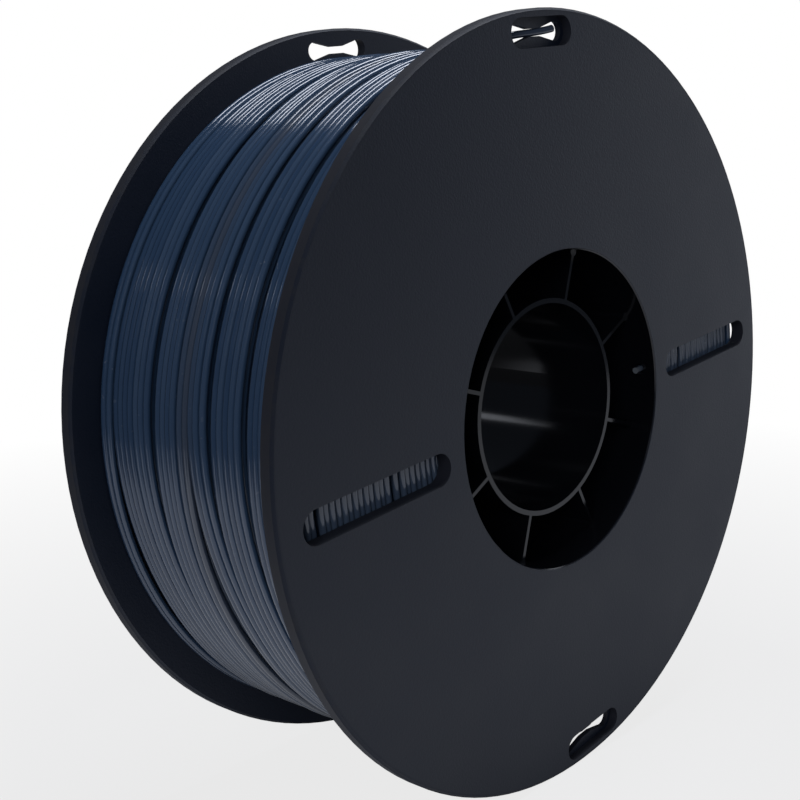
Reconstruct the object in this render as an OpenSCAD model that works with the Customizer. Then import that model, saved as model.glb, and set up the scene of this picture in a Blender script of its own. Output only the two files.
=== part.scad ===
// A full spool of 3-D printer filament, standing on its rims.
// The spool is two moulded halves that push together at the middle of the drum. One length of filament
// is wound on it: its first end is bent through the drum wall and its free end is held in a rim clip.
// Axis of the spool: Y. Up: +Z. Origin: middle of the bore.

/* [Spool] */
// Diameter of the two flanges
flange_d = 200; // [190:1:220]
// Width over both flanges
spool_w = 74; // [60:1:80]
// Thickness of a flange
flange_t = 4; // [3.5:0.5:5]
// Bevel along the edges of a rim
rim_bevel = 0.6; // [0.2:0.1:1]
// How far the spool has rolled since its window slots were level, in degrees
roll = 7.5; // [-90:0.1:90]

/* [Hub] */
// Diameter of the opening in a flange, which is the inside of the drum
hub_d = 83; // [78:1:86]
// Thickness of the drum wall that the filament is wound on
drum_wall = 2; // [1.6:0.1:3]
// Diameter of the bore that goes on a spindle or holder
bore_d = 54.8; // [50:0.1:58]
// Thickness of the bore tube
tube_wall = 1.3; // [1.2:0.1:2.2]
// Depth of the tube's mouth and of the ribs behind the flange face
hub_set_back = 7; // [4:0.5:12]
// Bevel round the edge of a flange's opening
hub_bevel = 0.4; // [0.2:0.1:0.8]
// Number of ribs between the bore tube and the drum
rib_count = 8; // [4:1:12]
// Thickness of a rib
rib_t = 1; // [0.8:0.1:2]
// Diameter of the round root where a rib joins the drum
rib_root_d = 2.4; // [1.4:0.1:3.6]

/* [Joint of the two halves] */
// Length over which the walls of the halves overlap
lap = 4; // [3:0.5:8]
// Clearance between the overlapping walls
lap_gap = 0.1; // [0.05:0.01:0.3]
// Height of the snap bead round the inner wall
snap = 0.3; // [0.1:0.05:0.4]

/* [Window slots] */
// Distance from the axis to the inner end of a slot
slot_from = 47; // [46:0.5:60]
// Distance from the axis to the outer end of a slot
slot_to = 93; // [80:0.5:95]
// Width of a slot
slot_w = 8; // [5:0.5:12]

/* [Filament clips] */
// Distance from the axis to the middle of a clip
clip_r = 94.4; // [94:0.1:95]
// Length of the shallow pocket round a clip
pocket_l = 23.6; // [22:0.2:26]
// Width of the pocket
pocket_w = 7.1; // [6:0.1:7.4]
// Depth of the pocket
pocket_depth = 2.5; // [1.5:0.1:3]
// Length of the hole through the pocket's floor
hole_l = 21.2; // [18:0.2:21.6]
// Width of the hole at its wide ends
hole_w = 4.8; // [3.6:0.1:5.4]
// Width of the narrow neck that grips the filament
neck_w = 1.8; // [1.8:0.1:2.2]
// Length of the neck
neck_l = 4; // [1:0.1:5]

/* [Filament] */
// Diameter of the filament
filament_d = 1.75; // [1.5:0.05:1.8]
// Turns in the outer layer
turns = 24; // [12:1:24]
// Distance from the axis to the middle of the filament in the outer layer
winding_r = 91.6; // [80:0.1:92]
// Diameter of the hole in the drum wall that the filament starts from
start_hole_d = 3; // [2.5:0.1:4]
// Length of the filament's first end that shows inside the drum
start_l = 2; // [1:0.5:6]

/* [Hidden] */
$fn = 180;

half_w = spool_w / 2;
inner_face = half_w - flange_t;       // from the middle to a flange's inner face
flange_r = flange_d / 2;
hub_r = hub_d / 2;
drum_r = hub_r + drum_wall;
bore_r = bore_d / 2;
tube_r = bore_r + tube_wall;
hub_end = half_w - hub_set_back;      // from the middle to the tube's mouth
rib_angle = 180 / rib_count;          // the slots lie midway between two ribs
cut = 1;                              // how far a cutter reaches past what it cuts

plastic = [0.13, 0.14, 0.155];
strand = [0.15, 0.20, 0.30];

// ---- one moulded half, with its flange upwards and its joint at z = 0 ----

// Half section of a round wall: the male end is thinned on its outside and carries the snap bead,
// and the female end is thinned on its inside and has the groove for it.
function wall_section(r_in, r_out, top, male) =
    let (
        step = lap / 2,
        r_mid = (r_in + r_out) / 2,
        r_male = r_mid - lap_gap / 2,
        r_female = r_mid + lap_gap / 2
    )
    male
        ? [[r_in, top], [r_out, top], [r_out, step], [r_male, step], [r_male, snap],
           [r_male + snap, 0], [r_male, -snap], [r_male, -step], [r_in, -step]]
        : [[r_in, top], [r_out, top], [r_out, -step], [r_female, -step], [r_female, -snap],
           [r_female + snap, 0], [r_female, snap], [r_female, step], [r_in, step]];

module turned_wall(r_in, r_out, top, male) {
    rotate_extrude() polygon(wall_section(r_in, r_out, top, male));
}

module flange_disc() {
    rotate_extrude()
        polygon([
            [hub_r, inner_face], [flange_r - rim_bevel, inner_face], [flange_r, inner_face + rim_bevel],
            [flange_r, half_w - rim_bevel], [flange_r - rim_bevel, half_w], [hub_r + hub_bevel, half_w],
            [hub_r, half_w - hub_bevel]
        ]);
}

module ribs() {
    rib_l = hub_end - lap / 2;
    for (i = [0 : rib_count - 1])
        rotate(rib_angle + 360 / rib_count * i)
            translate([0, 0, lap / 2]) {
                translate([tube_r - tube_wall / 2, -rib_t / 2, 0])
                    cube([hub_r - tube_r + tube_wall / 2 + drum_wall / 2, rib_t, rib_l]);
                translate([hub_r, 0, 0]) cylinder(d = rib_root_d, h = rib_l, $fn = 24);
            }
}

module obround(length, width) {
    square([length - width, width], center = true);
    for (end = [-1, 1])
        translate([end * (length - width) / 2, 0]) circle(d = width, $fn = 48);
}

module window_slot() {
    length = slot_to - slot_from;
    translate([slot_from + length / 2, 0, inner_face - cut])
        linear_extrude(flange_t + 2 * cut) obround(length, slot_w);
}

// Outline of the hole that a strand is pushed into: two flared lobes joined by a narrow neck.
module pinched_hole() {
    lobe = (hole_l - hole_w) / 2;
    for (end = [0, 1])
        mirror([end, 0]) {
            polygon([[0, -neck_w / 2], [neck_l / 2, -neck_w / 2], [lobe, -hole_w / 2],
                     [lobe, hole_w / 2], [neck_l / 2, neck_w / 2], [0, neck_w / 2]]);
            translate([lobe, 0]) circle(d = hole_w, $fn = 48);
        }
}

module filament_clip() {
    translate([0, clip_r, half_w - pocket_depth])
        linear_extrude(pocket_depth + cut) obround(pocket_l, pocket_w);
    translate([0, clip_r, inner_face - cut])
        linear_extrude(flange_t + cut) pinched_hole();
}

module start_hole() {
    translate([hub_r - cut, 0, inner_face - start_hole_d / 2])
        rotate([0, 90, 0]) cylinder(d = start_hole_d, h = drum_wall + 2 * cut, $fn = 48);
}

// Only the near half has window slots. Both have the two clips.
module spool_half(male, windows) {
    difference() {
        union() {
            flange_disc();
            turned_wall(hub_r, drum_r, inner_face + flange_t / 2, male);
            turned_wall(bore_r, tube_r, hub_end, male);
            difference() {
                ribs();
                cylinder(r = bore_r + tube_wall / 4, h = half_w);
            }
        }
        for (side = [0, 180])
            rotate(side) {
                if (windows) window_slot();
                filament_clip();
            }
        if (male) start_hole();
    }
}

// ---- the wound filament ----

// A ring of corners round each point of a route, with the first corner towards the spool's side.
corners = 6;
function direction(route, i) =
    let (v = route[min(i + 1, len(route) - 1)] - route[max(i - 1, 0)]) v / norm(v);
function ring(route, i) =
    let (
        along = direction(route, i),
        side = [0, 1, 0] - along[1] * along,
        a = side / norm(side),
        b = cross(along, a)
    )
    [
        for (k = [0 : corners - 1])
            let (angle = 360 / corners * k)
            route[i] + filament_d / 2 * (cos(angle) * a + sin(angle) * b)
    ];

module strand_along(route) {
    count = len(route);
    points = [for (i = [0 : count - 1]) each ring(route, i)];
    sides = [
        for (i = [0 : count - 2], k = [0 : corners - 1])
            let (p = corners * i + k, q = corners * i + (k + 1) % corners)
            each [[p, p + corners, q], [q, p + corners, q + corners]]
    ];
    ends = [
        for (k = [1 : corners - 2])
            each [[0, k, k + 1], corners * (count - 1) * [1, 1, 1] + [0, k + 1, k]]
    ];
    polyhedron(points = points, faces = concat(sides, ends));
}

// The outer layer winds from the far flange to the near one and ends where the free end lifts off it.
steps = 24;                           // points in one turn
lift_off = 135;                       // angle at which the free end leaves the layer
side_gap = 0.15;                      // between the layer's end turns and the flanges
layer_y = inner_face - filament_d / 2 - side_gap;
function on_layer(i) =
    let (turn = i / steps, angle = lift_off + 360 * (turns - turn))
    [winding_r * cos(angle), layer_y * (1 - 2 * turn / turns), winding_r * sin(angle)];
layer = [for (i = [0 : turns * steps]) on_layer(i)];
layer_in = layer[0] - layer[1];
layer_out = [sin(lift_off), 0, -cos(lift_off)];
layer_end = layer[turns * steps] + filament_d * layer_out;
layer_route = concat([layer[0] + filament_d * layer_in / norm(layer_in)], layer, [layer_end]);

least_gap = min([
    for (i = [0 : turns * steps - steps / 2], j = [i + steps / 2 : turns * steps])
        norm(layer[i] - layer[j])
]) - filament_d;
echo(str("least gap between turns of the outer layer, mm: ", least_gap));

// The free end rises from the layer beside the near flange and goes out through the neck of the clip.
// Its points are [across the clip, out from the layer's last turn, away from the axis].
free_points = [
    [-56, 0, 72.6], [-50, 0, 77.2], [-43, 0, 81.8], [-36, 0, 85.8], [-29, 0, 89], [-22, 0, 91.4],
    [-16, 0, 92.8], [-10, 0.1, 93.7], [-5, 0.9, 94.2], [0, 1.8, 94.4], [4, 2.6, 94.7], [6.5, 3.1, 95]
];
free_route = concat(
    [layer_end, layer_end + filament_d * layer_out],
    [for (p = free_points) [p[0], -layer_y - p[1], p[2]]]
);

// The core lies just under the flats that the outer turns have between their points.
core_gap = 0.02;
core_r = winding_r * cos(180 / steps) - filament_d / 2 * cos(180 / corners) - core_gap;

module wound_core() {
    rotate([90, 0, 0])
        rotate_extrude()
            translate([drum_r, -inner_face]) square([core_r - drum_r, 2 * inner_face]);
    translate([hub_r - start_l, -(inner_face - start_hole_d / 2), 0])
        rotate([0, 90, 0]) cylinder(d = filament_d, h = start_l + drum_wall + cut, $fn = 24);
}

// ---- the pieces in place ----

module rolled() {
    rotate([0, -roll, 0]) children();
}

module near_half() {
    color(plastic) rolled() rotate([90, 0, 0]) spool_half(male = true, windows = true);
}

module far_half() {
    color(plastic) rolled() rotate([-90, 0, 0]) spool_half(male = false, windows = false);
}

module filament_core() {
    color(strand) rolled() wound_core();
}

module filament_outer_turns() {
    color(strand) rolled() strand_along(layer_route);
}

module filament_free_end() {
    color(strand) rolled() strand_along(free_route);
}

near_half();
far_half();
filament_core();
filament_outer_turns();
filament_free_end();
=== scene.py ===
# A full spool of 3-D printer filament, standing on its rims.
# Metres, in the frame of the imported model: the spool's axis is Y, up is +Z, the bore's middle is the origin.
import math

import bpy
import numpy as np
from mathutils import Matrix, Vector


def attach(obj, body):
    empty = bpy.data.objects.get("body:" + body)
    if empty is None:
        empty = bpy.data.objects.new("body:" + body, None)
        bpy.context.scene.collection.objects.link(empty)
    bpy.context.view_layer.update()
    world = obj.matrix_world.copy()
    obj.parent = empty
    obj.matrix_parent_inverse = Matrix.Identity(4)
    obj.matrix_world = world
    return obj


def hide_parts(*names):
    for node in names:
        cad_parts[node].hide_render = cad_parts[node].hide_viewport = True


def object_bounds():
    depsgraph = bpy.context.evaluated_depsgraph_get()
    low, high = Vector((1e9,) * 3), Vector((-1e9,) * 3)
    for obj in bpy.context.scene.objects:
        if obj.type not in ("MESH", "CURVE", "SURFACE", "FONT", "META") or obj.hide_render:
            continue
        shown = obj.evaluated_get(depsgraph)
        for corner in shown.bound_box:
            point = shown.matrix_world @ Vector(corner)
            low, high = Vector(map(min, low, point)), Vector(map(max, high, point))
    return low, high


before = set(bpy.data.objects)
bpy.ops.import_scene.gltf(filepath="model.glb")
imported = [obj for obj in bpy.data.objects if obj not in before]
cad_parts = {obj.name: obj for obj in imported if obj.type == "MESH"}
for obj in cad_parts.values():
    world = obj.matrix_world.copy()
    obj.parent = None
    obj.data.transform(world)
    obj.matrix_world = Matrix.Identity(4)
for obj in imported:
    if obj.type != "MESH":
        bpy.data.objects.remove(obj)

cad_bounds = [list(corner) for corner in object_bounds()]
MM = 0.001


# ---- Moulded halves ----
# Two mouldings in near-black plastic, each a flange with half of the drum and half of the bore tube.
# They push together at the middle of the drum. The flat faces carry the mould's fine spark-eroded grain.
# Bore, ribs and drum are shaped by polished pins, so the hub is smooth inside.

PLASTIC_COLOUR = (0.0060, 0.0096, 0.0190, 1)
PLASTIC_PALE = (0.0085, 0.0122, 0.0225, 1)
# Painted shade: the inside of the hub is given this deeper colour, as if it lay in shade.
HUB_SHADE_COLOUR = (0.0030, 0.0033, 0.0045, 1)
# Painted light: walls along the axis are blended towards this paler, warmer colour, as if lit.
LIT_WALL_COLOUR = (0.024, 0.023, 0.026, 1)
# Scuff marks on the rim's edges, paler: partly wear and partly a painted highlight along the rim's bevel.
SCUFF_AND_SHEEN_COLOUR = (0.018, 0.019, 0.022, 1)
HUB_R = 41.5 * MM
RIM_R = 100 * MM
RIM_BEVEL = 0.6 * MM
GRAIN_DEPTH = 0.05 * MM


class Wire:
    """The output of a shader node. Arithmetic on it adds Math nodes to the same tree."""

    def __init__(self, tree, socket):
        self.tree = tree
        self.socket = socket

    def maths(self, operation, *values):
        return self.tree.node("ShaderNodeMath", {"operation": operation}, dict(enumerate(values)))

    def __add__(self, other):
        return self.maths("ADD", self, other)

    def __radd__(self, other):
        return self.maths("ADD", other, self)

    def __sub__(self, other):
        return self.maths("SUBTRACT", self, other)

    def __rsub__(self, other):
        return self.maths("SUBTRACT", other, self)

    def __mul__(self, other):
        return self.maths("MULTIPLY", self, other)

    def __rmul__(self, other):
        return self.maths("MULTIPLY", other, self)

    def __pow__(self, other):
        return self.maths("POWER", self, other)

    def ramp(self, low, high):
        """0 below low, 1 above high, and straight between them."""
        settings = {"interpolation_type": "LINEAR", "clamp": True}
        return self.tree.node("ShaderNodeMapRange", settings, {0: self, 1: low, 2: high, 3: 0.0, 4: 1.0})


class Tree:
    """The shader nodes of a material or of the world."""

    def __init__(self, owner):
        owner.use_nodes = True
        self.nodes = owner.node_tree.nodes
        self.links = owner.node_tree.links
        self.nodes.clear()

    def node(self, kind, settings=None, inputs=None, output=0):
        """Adds a node of that kind: first its settings, then a value or a Wire for each socket named."""
        made = self.nodes.new(kind)
        for name, value in (settings or {}).items():
            setattr(made, name, value)
        for name, value in (inputs or {}).items():
            if isinstance(value, Wire):
                self.links.new(value.socket, made.inputs[name])
            else:
                made.inputs[name].default_value = value
        return Wire(self, made.outputs[output]) if len(made.outputs) else made

    def parts(self, vector):
        """The X, Y and Z of a vector, each as a Wire."""
        split = self.node("ShaderNodeSeparateXYZ", {}, {0: vector}).socket.node
        return [Wire(self, split.outputs[axis]) for axis in "XYZ"]

    def noise(self, place, scale, detail):
        inputs = {"Vector": place, "Scale": scale, "Detail": detail}
        return self.node("ShaderNodeTexNoise", {}, inputs, "Fac")

    def blend(self, share, colour_a, colour_b):
        inputs = {0: share, 6: colour_a, 7: colour_b}
        return self.node("ShaderNodeMix", {"data_type": "RGBA"}, inputs, 2)

    def bump(self, height, distance, strength=1.0):
        inputs = {"Height": height, "Distance": distance, "Strength": strength}
        return self.node("ShaderNodeBump", {}, inputs)

    def surface(self, kind, inputs):
        shader = self.node(kind, {}, inputs)
        self.node("ShaderNodeOutputMaterial", {}, {"Surface": shader})


def moulded_plastic():
    """Dark plastic: matte and faintly cloudy, with grain on faces across the axis, and smooth inside the hub.
    Walls along the axis are painted paler as painted light, and the inside of the hub is painted deeper in
    colour as painted shade. Scuff marks on the rim's edges are paler: partly wear, partly a painted highlight
    on the bevel."""
    material = bpy.data.materials.new("moulded_plastic")
    tree = Tree(material)
    place = tree.node("ShaderNodeTexCoord", output="Object")
    x, _, z = tree.parts(place)
    from_axis = (x * x + z * z) ** 0.5
    _, facing, _ = tree.parts(tree.node("ShaderNodeTexCoord", output="Normal"))
    across_axis = facing.maths("ABSOLUTE", facing).ramp(0.3, 0.8)
    smooth = from_axis.ramp(HUB_R + 0.4 * MM, HUB_R + 0.1 * MM)
    at_rim = from_axis.ramp(RIM_R - 2 * RIM_BEVEL, RIM_R - 0.3 * RIM_BEVEL)
    patches = tree.noise(place, 45.0, 4.0)
    grain = tree.noise(place, 1900.0, 2.0)
    colour = tree.blend(patches.ramp(0.35, 0.75), PLASTIC_COLOUR, PLASTIC_PALE)
    # Scuff marks on the rim's edges: partly wear, partly a painted highlight along the bevel.
    scuffs_and_sheen = at_rim * tree.noise(place, 260.0, 4.0).ramp(0.45, 0.75)
    colour = tree.blend(scuffs_and_sheen, colour, SCUFF_AND_SHEEN_COLOUR)
    # Painted light: walls along the axis are made paler, as if light fell on them.
    colour = tree.blend(0.6 - 0.6 * across_axis, colour, LIT_WALL_COLOUR)
    # Painted shade: the inside of the hub is made deeper in colour.
    colour = tree.blend(smooth, colour, HUB_SHADE_COLOUR)
    roughness = 0.12 + (1 - smooth) * (0.32 + 0.14 * patches + 0.2 * at_rim)
    tree.surface("ShaderNodeBsdfPrincipled", {
        "Base Color": colour,
        "Roughness": roughness,
        "Normal": tree.bump(grain * across_axis * (1 - smooth), GRAIN_DEPTH),
    })
    return material


plastic = moulded_plastic()
for name in ("near_half", "far_half"):
    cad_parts[name].data.materials.clear()
    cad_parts[name].data.materials.append(plastic)


# ---- Wound filament ----
# One strand of glossy navy plastic, wound in about 26 layers. Only the skin of the winding is made turn
# by turn: the outer layer, the layer under it that shows in the gaps, and the edge turn of every layer
# beside the near flange, which the window slots show. A ring, rippled like one more layer, fills the inside.

STRAND_R = 0.875 * MM
WINDING_R = 91.6 * MM
DRUM_R = 43.5 * MM
INNER_FACE = 33.0 * MM
EDGE_CLEARANCE = 0.15 * MM
DEEP_NAVY = (0.0215, 0.0470, 0.0930, 1)
PALE_NAVY = (0.0345, 0.0640, 0.1140, 1)
WARM_SLATE = (0.0450, 0.0570, 0.0800, 1)
# A snipped end's pale colour. Blended into the edge turns, it is a painted highlight.
CUT_AND_SHEEN_COLOUR = (0.11, 0.12, 0.13, 1)
DUST_COLOUR = (0.20, 0.21, 0.22, 1)
LINE_DEPTH = 0.05 * MM
SHARP = math.radians(60)
rng = np.random.default_rng(7)

# Angles go round from +X towards +Z, before the winding is turned by ROLL, the angle that the spool has
# rolled. A turn crosses to the next one's place over its last CROSSING_SHARE, which ends at CROSSING.
ROLL = math.radians(7.5)
CROSSING = math.radians(375)
CROSSING_SHARE = 0.16
LIFT_OFF = math.radians(135)
UPPER_MIDDLE = math.radians(95)

# The outer layer, turn 0 beside the far flange. A gap in mm lies before the turn of that number, first where
# the bundles lie on the upper part of the spool and then on the lower part, where the turns have shifted.
# Gaps wider than SPLIT_GAP split the layer in bundles, and the turns beside them have sunk in. Raised turns
# stand out by so many mm, and a warm turn has that share of the warmer colour. Over its first RISE_SHARE of
# a turn the layer comes up from RISE_DEPTH deeper, out of the layer below.
LAYER_TURNS = 30
UPPER_GAPS = {2: 0.8, 9: 2.4, 13: 0.4, 18: 2.0, 23: 2.4}
LOWER_GAPS = {2: 3.6, 3: 0.4, 6: 0.4, 9: 0.5, 11: 0.3, 15: 3.4, 17: 0.4, 20: 0.4, 23: 0.6, 26: 0.3}
SPLIT_GAP = 0.45
TURN_SINK = 0.10 * MM
BUNDLE_SINK = 0.20 * MM
RAISED_TURNS = {12: 0.22, 29: 0.40}
WARM_TURNS = {13: 0.5, 14: 1.0, 15: 0.3}
RISE_DEPTH = 2.0 * MM
RISE_SHARE = 0.08
DRIFT_ACROSS = 0.05 * MM
DRIFT_OUT = 0.10 * MM
RINGS_PER_TURN = 120


def smooth_step(share):
    """0 below 0, 1 above 1, and an S-shaped cubic between."""
    t = np.clip(share, 0, 1)
    return t * t * (3 - 2 * t)


def stepped(values, turn):
    """values[k] through turn k, easing into values[k + 1] over the last CROSSING_SHARE of that turn."""
    k = np.clip(turn.astype(int), 0, len(values) - 2)
    crossed = smooth_step((turn - k - 1 + CROSSING_SHARE) / CROSSING_SHARE)
    return values[k] + (values[k + 1] - values[k]) * crossed


def wander(turn, size):
    """A slow drift of about that size: sine waves of three periods, none a whole number to a turn."""
    return size * sum(np.sin(2 * math.pi * (pace * turn + rng.random())) for pace in (0.37, 0.83, 1.71)) / 3


def angle_at(turn):
    """The angle that a strand has come to, going clockwise as seen from -Y, before the roll."""
    return CROSSING - 2 * math.pi * turn


def round_route(turn, radius, across):
    """For each value of turn, the point at its angle with that radius and that place across the spool."""
    angle = angle_at(turn) + ROLL
    return np.stack([radius * np.cos(angle), across, radius * np.sin(angle)], axis=1)


def strand_mesh(name, route, sides, **shades):
    """A round tube: at each point of the route, a ring in the plane across its direction, one corner
    of it towards the spool's axis direction Y. The UV map is length along, turn around, and each
    shade, such as tone, is an attribute with one value for each ring or one for all of them."""
    along = np.gradient(route, axis=0)
    along /= np.linalg.norm(along, axis=1)[:, None]
    side = np.array([0, 1.0, 0]) - along[:, 1:2] * along
    side /= np.linalg.norm(side, axis=1)[:, None]
    out = np.cross(side, along)
    angle = 2 * math.pi * np.arange(sides) / sides
    rings = side[:, None] * np.cos(angle)[None, :, None] + out[:, None] * np.sin(angle)[None, :, None]
    points = route[:, None] + STRAND_R * rings
    count = len(route)
    i, k = np.meshgrid(np.arange(count - 1), np.arange(sides), indexing="ij")
    a = i * sides + k
    b = i * sides + (k + 1) % sides
    quads = np.stack([a, a + sides, b + sides, b], axis=-1).reshape(-1, 4)
    ends = [list(range(sides)), list(range(count * sides - 1, (count - 1) * sides - 1, -1))]
    mesh = bpy.data.meshes.new(name)
    mesh.from_pydata(points.reshape(-1, 3).tolist(), [], quads.tolist() + ends)
    length = np.concatenate([[0], np.cumsum(np.linalg.norm(np.diff(route, axis=0), axis=1))])
    v = np.stack([k, k, k + 1, k + 1], axis=-1) / sides
    u = np.stack([length[i], length[i + 1], length[i + 1], length[i]], axis=-1)
    uv = np.zeros((len(mesh.loops), 2), np.float32)
    uv[:4 * len(quads), 0] = u.ravel()
    uv[:4 * len(quads), 1] = v.ravel()
    mesh.uv_layers.new(name="UVMap").data.foreach_set("uv", uv.ravel())
    for shade, values in shades.items():
        of_points = np.repeat(np.broadcast_to(values, count), sides)
        attribute = mesh.attributes.new(shade, "FLOAT", "POINT")
        attribute.data.foreach_set("value", of_points.astype(np.float32))
    mesh.shade_smooth()
    mesh.set_sharp_from_angle(angle=SHARP)
    return mesh


def piece(mesh, material):
    """Puts the mesh in the scene as a piece of the filament."""
    made = bpy.data.objects.new(mesh.name, mesh)
    bpy.context.scene.collection.objects.link(made)
    mesh.materials.append(material)
    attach(made, "root")
    return made


def glossy_filament():
    """Extruded plastic: deep navy, glossy, with fine lines along it and a few specks of dust. The tone of
    a turn makes it a little deeper or paler, and a warm turn is greyer. A snipped end has turned pale; the
    same pale colour, blended into the edge turns, is a painted highlight, and the free end is painted paler
    and greyer as painted light."""
    material = bpy.data.materials.new("glossy_filament")
    tree = Tree(material)
    place = tree.node("ShaderNodeTexCoord", output="Object")
    length, around, _ = tree.parts(tree.node("ShaderNodeTexCoord", output="UV"))
    tone, warm, cut = (tree.node("ShaderNodeAttribute", {"attribute_name": shade}, {}, "Fac")
                       for shade in ("tone", "warm", "cut"))
    drawn = tree.node("ShaderNodeCombineXYZ", {}, {0: 40.0 * length, 1: 12.0 * around, 2: 57.0 * tone})
    lines = tree.noise(drawn, 1.0, 3.0)
    cloud = tree.noise(place, 90.0, 3.0)
    colour = tree.blend((tone + 0.8 * (cloud - 0.5)).ramp(0.0, 1.0), DEEP_NAVY, PALE_NAVY)
    # Warm turns are greyer. On the free end this greyer colour is painted light.
    colour = tree.blend(0.8 * warm, colour, WARM_SLATE)
    # Pale snipped ends, and a painted highlight on the edge turns.
    colour = tree.blend(cut, colour, CUT_AND_SHEEN_COLOUR)
    dusty = tree.noise(place, 38.0, 2.0).ramp(0.5, 0.7)
    specks = dusty * tree.noise(place, 900.0, 0.0).ramp(0.78, 0.82)
    colour = tree.blend(0.5 * specks, colour, DUST_COLOUR)
    tree.surface("ShaderNodeBsdfPrincipled", {
        "Base Color": colour,
        "Roughness": 0.07 + 0.08 * tone + 0.08 * lines + 0.2 * specks,
        "IOR": 1.55,
        "Coat Weight": 0.5,
        "Coat Roughness": 0.08,
        "Normal": tree.bump(lines, LINE_DEPTH, 0.5),
    })
    return material


filament = glossy_filament()

# The middle line of a turn stays between -edge and edge across the spool, and free_width is what the outer
# layer's turns leave for the gaps between them.
edge = INNER_FACE - STRAND_R - EDGE_CLEARANCE
free_width = 2 * edge - 2 * STRAND_R * (LAYER_TURNS - 1)


def places(gaps):
    """Where each turn lies across the spool: the gaps given in mm, and random shares of what is left."""
    gap = np.zeros(LAYER_TURNS)
    gap[list(gaps)] = np.array(list(gaps.values())) * MM
    share = 0.3 + rng.random(LAYER_TURNS - 1) ** 2
    gap[1:] += (free_width - gap.sum()) * share / share.sum()
    return edge - np.cumsum(2 * STRAND_R + gap) + 2 * STRAND_R


upper_across = places(UPPER_GAPS)
lower_across = places(LOWER_GAPS)
all_gaps = {**UPPER_GAPS, **LOWER_GAPS}
splits = np.array([k for k in all_gaps if max(UPPER_GAPS.get(k, 0), LOWER_GAPS.get(k, 0)) > SPLIT_GAP])


def in_layer(upper, lower, turn):
    """The place across the spool: each turn's own place on the upper part or on the lower part, eased
    from one to the other a quarter of a turn to either side of the upper part's middle."""
    up = smooth_step(0.5 + 1.5 * np.cos(angle_at(turn) - UPPER_MIDDLE))
    return up * stepped(upper, turn) + (1 - up) * stepped(lower, turn)


sink = TURN_SINK * rng.random(LAYER_TURNS)
sink[splits] = BUNDLE_SINK
sink[splits - 1] = BUNDLE_SINK
for raised, rise in RAISED_TURNS.items():
    sink[raised] = -rise * MM
warm_turns = np.zeros(LAYER_TURNS)
for changed, share in WARM_TURNS.items():
    warm_turns[changed] = share
outer_last = LAYER_TURNS - 1 + (CROSSING - LIFT_OFF) / (2 * math.pi)
turn = np.linspace(0, outer_last, int(RINGS_PER_TURN * outer_last))
across = in_layer(upper_across, lower_across, turn) + wander(turn, DRIFT_ACROSS)
across = np.clip(across, -edge, edge)
radius = WINDING_R - stepped(sink, turn) + wander(turn, DRIFT_OUT)
radius -= RISE_DEPTH * smooth_step(1 - turn / RISE_SHARE)
outer_layer = piece(strand_mesh(
    "filament_outer_layer", round_route(turn, radius, across), sides=12,
    tone=stepped(rng.random(LAYER_TURNS), turn), warm=stepped(warm_turns, turn)), filament)
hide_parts("filament_outer_turns")
lift_r = radius[-1]

# The layer under it lies in step with the gaps between its turns, LAYER_SLACK deeper than it would nest in
# them, and winds the other way across. Its turn under a wide gap lies GAP_DEPTH deeper still. This layer and
# the edge turns end SHORT_END of a turn early.
LAYER_SLACK = 0.5 * MM
GAP_DEPTH = 1.2 * MM
HIDDEN_RINGS_PER_TURN = 96
SHORT_END = 0.01
under_turns = LAYER_TURNS - 3
upper_under = ((upper_across[1:-2] + upper_across[2:-1]) / 2)[::-1]
lower_under = ((lower_across[1:-2] + lower_across[2:-1]) / 2)[::-1]
half_pitch = edge / (LAYER_TURNS - 1)
under_r = WINDING_R - BUNDLE_SINK - LAYER_SLACK - math.sqrt((2 * STRAND_R) ** 2 - half_pitch ** 2)
under_sink = np.zeros(under_turns)
under_sink[under_turns + 1 - splits] = GAP_DEPTH
turn = np.linspace(0, under_turns - SHORT_END, HIDDEN_RINGS_PER_TURN * under_turns)
radius = under_r - stepped(under_sink, turn)
piece(strand_mesh(
    "filament_under_layer", round_route(turn, radius, in_layer(upper_under, lower_under, turn)), sides=8,
    tone=stepped(rng.random(under_turns), turn), warm=0), filament)

# The edge turns climb from the drum to the outer layer. Neighbours sit a little in and out in turn, and a
# layer that turned back before it reached the flange has left a gap, given in mm, below some of them. They
# are paler than the outer layer, with EDGE_PALENESS of a snipped end's colour: a painted highlight, as if
# they caught the light in the window slots.
LAYER_STEP = 1.66 * MM
EDGE_TURNS = 26
EDGE_GAPS = {4: 0.35, 6: 0.35, 9: 0.4, 10: 1.3, 20: 0.3, 23: 1.0}
EDGE_ZIGZAG = 0.28 * MM
EDGE_SCATTER = 0.12 * MM
EDGE_DRIFT = 0.05 * MM
EDGE_PALENESS = 0.3
inset = EDGE_ZIGZAG * (np.arange(EDGE_TURNS) % 2) + EDGE_SCATTER * rng.random(EDGE_TURNS)
climb = DRUM_R + STRAND_R + LAYER_STEP * np.arange(EDGE_TURNS)
for layer, gap in EDGE_GAPS.items():
    climb[layer:] += gap * MM
turn = np.linspace(0, EDGE_TURNS - SHORT_END, HIDDEN_RINGS_PER_TURN * EDGE_TURNS)
radius = stepped(climb, turn) + wander(turn, EDGE_DRIFT)
across = stepped(inset, turn) - edge
# The edge turns get a share of the snipped end's pale colour as a painted highlight.
piece(strand_mesh(
    "filament_near_edge", round_route(turn, radius, across), sides=10,
    tone=stepped(rng.random(EDGE_TURNS), turn), warm=0, cut=EDGE_PALENESS), filament)


RIPPLE_STEPS = 6


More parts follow.
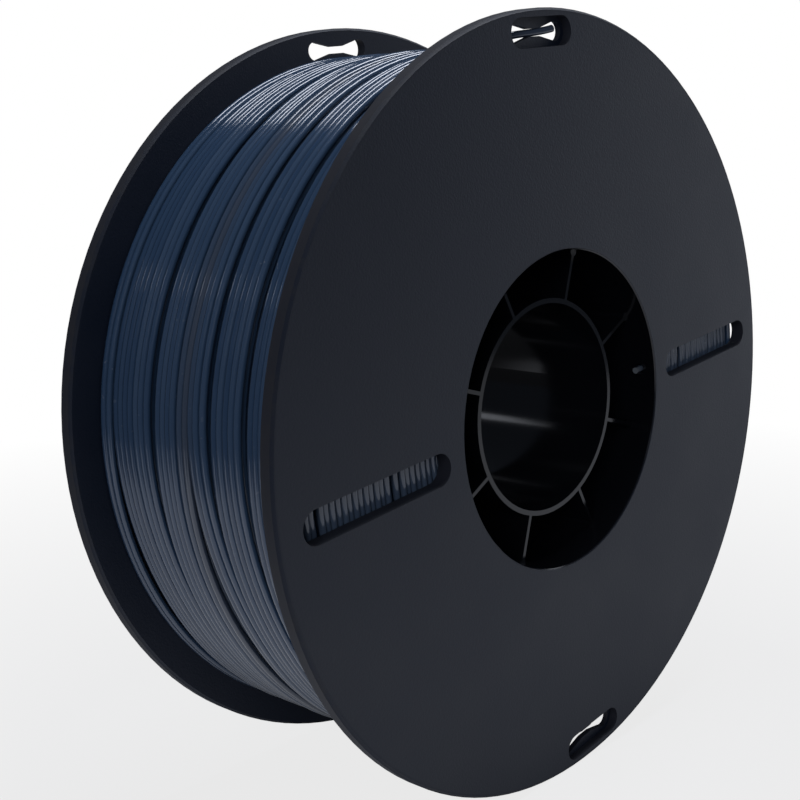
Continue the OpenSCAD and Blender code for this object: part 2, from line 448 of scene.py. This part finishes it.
def ring_mesh(name, inner_r, outer_r, low, high, steps):
    """A ring from low to high along the axis. Its section, carried round the axis, is a rectangle whose
    outer side is a row of half circles of the strand's radius, so that it looks like a layer of turns."""
    ripples = int((high - low) / (2 * STRAND_R))
    share = np.linspace(0, ripples, RIPPLE_STEPS * ripples + 1)
    from_middle = (share % 1 - 0.5) * (high - low) / ripples
    ripple = np.sqrt(np.maximum(STRAND_R ** 2 - from_middle ** 2, 0))
    r = np.concatenate([[inner_r], outer_r - STRAND_R + ripple, [inner_r]])
    y = np.concatenate([[low], low + (high - low) * share / ripples, [high]])
    corners = len(r)
    angle = 2 * math.pi * np.arange(steps) / steps
    points = np.stack([np.cos(angle)[:, None] * r, np.broadcast_to(y, (steps, corners)),
                       np.sin(angle)[:, None] * r], axis=-1)
    i, k = np.meshgrid(np.arange(steps), np.arange(corners), indexing="ij")
    here = corners * i
    following = corners * ((i + 1) % steps)
    beside = (k + 1) % corners
    quads = np.stack([here + k, here + beside, following + beside, following + k], axis=-1)
    mesh = bpy.data.meshes.new(name)
    mesh.from_pydata(points.reshape(-1, 3).tolist(), [], quads.reshape(-1, 4).tolist())
    mesh.shade_smooth()
    mesh.set_sharp_from_angle(angle=SHARP)
    return mesh


core = piece(ring_mesh(
    "filament_inner_layers", inner_r=DRUM_R, outer_r=under_r - GAP_DEPTH - STRAND_R,
    low=4 * STRAND_R - edge, high=edge, steps=180), filament)
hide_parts("filament_core")


# ---- Ends of the filament ----
# The first end comes in through the drum wall and shows inside the hub. The free end leaves the outer
# layer beside the near flange, passes out through the neck of the rim clip and ends there, cut square.

START_R = 39.5 * MM
START_ACROSS = -31.5 * MM
START_POINTS = 8

# The free end's points before the roll, in mm: x, how far it has come out past the last turn's place, and z.
FREE_ROUTE = [
    (-56, 0, 72.6), (-50, 0, 77.2), (-43, 0, 81.8), (-36, 0, 85.8), (-29, 0, 89), (-22, 0, 91.4),
    (-16, 0, 92.8), (-10, 0.1, 93.7), (-5, 0.9, 94.2), (0, 1.8, 94.4), (4, 2.6, 94.7), (6.5, 3.1, 95),
]


def rolled(points):
    """The points turned about the axis by the angle that the spool has rolled."""
    x, y, z = np.asarray(points, float).T
    return np.stack([x * math.cos(ROLL) - z * math.sin(ROLL), y,
                     x * math.sin(ROLL) + z * math.cos(ROLL)], axis=1)


def smooth_route(points, steps):
    """A Catmull-Rom curve through the points: each stretch is the cubic whose slope at a point is
    half the step between that point's neighbours."""
    points = np.asarray(points, float)
    padded = np.concatenate([[2 * points[0] - points[1]], points, [2 * points[-1] - points[-2]]])
    p0, p1, p2, p3 = (padded[k:len(padded) - 3 + k, None] for k in range(4))
    t = np.linspace(0, 1, steps, endpoint=False)[None, :, None]
    curve = p1 + t * (p2 - p0) / 2 + t ** 2 * (p0 - 2.5 * p1 + 2 * p2 - p3 / 2)
    curve = curve + t ** 3 * (1.5 * p1 - p0 / 2 - 1.5 * p2 + p3 / 2)
    return np.concatenate([curve.reshape(-1, 3), points[-1:]])


lift_point = lift_r * np.array([math.cos(LIFT_OFF), 0, math.sin(LIFT_OFF)])
lift_point[1] = -edge
lift_way = np.array([math.sin(LIFT_OFF), 0, -math.cos(LIFT_OFF)])
lead = [lift_point, lift_point + 2 * STRAND_R * lift_way, lift_point + 4 * STRAND_R * lift_way]
outward = [np.array([x * MM, -edge - out * MM, z * MM]) for x, out, z in FREE_ROUTE]
free_route = rolled(smooth_route(lead + outward, steps=8))
cut = np.zeros(len(free_route))
cut[-1] = 1
# Painted light: the free end is made paler and greyer all along (tone 1, warm 1), as if light fell on it.
free_end = piece(strand_mesh("filament_tail", free_route, sides=16, tone=1, warm=1, cut=cut), filament)
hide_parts("filament_free_end")

start_x = np.linspace(START_R, DRUM_R + STRAND_R, START_POINTS)
start_route = rolled(np.stack([start_x, np.full(START_POINTS, START_ACROSS), 0 * start_x], axis=1))
cut = np.linspace(1, 0, START_POINTS)
piece(strand_mesh("filament_first_end", start_route, sides=16, tone=0, warm=0, cut=cut), filament)


# ---- Studio ----
# A pale table top under the rims in a white surround. A wide softbox hangs overhead, a fill and a dim
# panel stand in front at the left, a weak softbox at the right, and a small one behind lights the bore.

FLOOR_Z = cad_bounds[0][2]
TABLE_SIZE = 1.15
TABLE_COLOUR = (0.24, 0.24, 0.26, 1)
AMBIENT = (0.060, 0.070, 0.090, 1)
COOL_WHITE = (0.94, 0.98, 1.08, 1)
WHITE = (1, 1, 1, 1)
BLACK = (0, 0, 0, 1)


def table_material():
    """Pale top that the camera sees as white away from the object, with the object's shadow left on it.
    Reflections show it dim, but for three lit areas: in front, which the near flange's lower face shows,
    at the left, which the lower part of the winding shows, and behind, for the far flange."""
    material = bpy.data.materials.new("pale_table")
    tree = Tree(material)
    x, y, _ = tree.parts(tree.node("ShaderNodeTexCoord", output="Object"))
    away = ((x * x + y * y) ** 0.5).ramp(0.12, 0.5)
    seen = tree.node("ShaderNodeLightPath", output="Is Camera Ray")
    mirrored = tree.node("ShaderNodeLightPath", output="Is Glossy Ray")
    diffuse = tree.node("ShaderNodeBsdfDiffuse", {}, {"Color": TABLE_COLOUR})
    front = x.ramp(-0.40, -0.30) * y.ramp(-0.90, -0.30) * y.ramp(0.0, -0.09)
    left = x.ramp(-0.03, -0.09) * y.ramp(-0.09, 0.0) * y.ramp(0.20, 0.15) * (x + y).ramp(0.03, -0.01)
    behind = x.ramp(-0.05, 0.05) * y.ramp(0.20, 0.35) * y.ramp(0.60, 0.45)
    lit = 0.06 + 0.54 * front + 0.68 * left + 0.50 * behind
    reflected = tree.blend(lit, BLACK, COOL_WHITE)
    colour = tree.blend(seen, reflected, WHITE)
    white = tree.node("ShaderNodeEmission", {}, {"Color": colour, "Strength": 1.0})
    share = seen * (0.80 + 0.20 * away) + mirrored
    shader = tree.node("ShaderNodeMixShader", {}, {0: share, 1: diffuse, 2: white})
    tree.node("ShaderNodeOutputMaterial", {}, {"Surface": shader})
    return material


half = TABLE_SIZE / 2
table_mesh = bpy.data.meshes.new("table")
table_mesh.from_pydata([(-half, -half, FLOOR_Z), (half, -half, FLOOR_Z), (half, half, FLOOR_Z),
                        (-half, half, FLOOR_Z)], [], [(0, 1, 2, 3)])
table_mesh.materials.append(table_material())
table = bpy.data.objects.new("table", table_mesh)
bpy.context.scene.collection.objects.link(table)

world = bpy.data.worlds.new("surround")
bpy.context.scene.world = world
tree = Tree(world)
seen = tree.node("ShaderNodeLightPath", output="Is Camera Ray")
colour = tree.blend(seen, AMBIENT, WHITE)
background = tree.node("ShaderNodeBackground", {}, {"Color": colour, "Strength": 1.0})
tree.node("ShaderNodeOutputWorld", {}, {"Surface": background})


def soft_light(name, place, aim, width, height, radiance):
    """A rectangular lamp at that place, facing the point aim. A lamp's power is its radiance times pi
    times its area."""
    lamp = bpy.data.lights.new(name, "AREA")
    lamp.shape = "RECTANGLE"
    lamp.size = width
    lamp.size_y = height
    lamp.energy = radiance * math.pi * width * height
    lamp.color = COOL_WHITE[:3]
    made = bpy.data.objects.new(name, lamp)
    made.location = place
    made.rotation_mode = "QUATERNION"
    made.rotation_quaternion = (Vector(aim) - Vector(place)).to_track_quat("-Z", "Y")
    bpy.context.scene.collection.objects.link(made)
    return made


middle = (0, 0, 0)
soft_light("overhead_softbox", (0.33, -0.05, 0.95), (0.33, -0.05, 0), width=0.96, height=0.3, radiance=8.3)
fill = soft_light("front_fill", (-1.25, -0.75, 0.5), middle, width=0.8, height=0.8, radiance=3.7)
fill.visible_glossy = False
soft_light("front_panel", (-0.85, -1.13, 0.47), middle, width=0.7, height=0.35, radiance=0.15)
soft_light("right_softbox", (1.20, -0.42, 0.20), middle, width=0.45, height=1.0, radiance=1.2)
soft_light("back_softbox", (-0.72, 0.792, 0.504), middle, width=0.18, height=0.1, radiance=2.0)

# The camera's line of sight passes the bore's middle, which lies VIEW_RIGHT and VIEW_UP off it, and meets a
# picture of PICTURE_PIXELS at AXIS_PIXEL_X from its left side.
VIEW_AZIMUTH = math.radians(-51.76)
VIEW_ELEVATION = math.radians(10.09)
VIEW_DISTANCE = 347.9 * MM
VIEW_RIGHT = -16.15 * MM
VIEW_UP = 1.3 * MM
FOCAL_PIXELS = 1257
PICTURE_PIXELS = 800
AXIS_PIXEL_X = 520
back = Vector((math.sin(VIEW_AZIMUTH) * math.cos(VIEW_ELEVATION),
               -math.cos(VIEW_AZIMUTH) * math.cos(VIEW_ELEVATION), math.sin(VIEW_ELEVATION)))
right = Vector((math.cos(VIEW_AZIMUTH), math.sin(VIEW_AZIMUTH), 0))
up = back.cross(right)
lens = bpy.data.cameras.new("camera")
lens.sensor_width = 36
lens.lens = FOCAL_PIXELS / PICTURE_PIXELS * lens.sensor_width
lens.shift_x = 0.5 - AXIS_PIXEL_X / PICTURE_PIXELS
lens.clip_start = 0.01
lens.clip_end = 20
camera = bpy.data.objects.new("camera", lens)
camera.location = back * VIEW_DISTANCE - right * VIEW_RIGHT - up * VIEW_UP
camera.rotation_mode = "QUATERNION"
camera.rotation_quaternion = (-back).to_track_quat("-Z", "Y")
bpy.context.scene.collection.objects.link(camera)
bpy.context.scene.camera = camera
bpy.context.scene.view_settings.view_transform = "Standard"
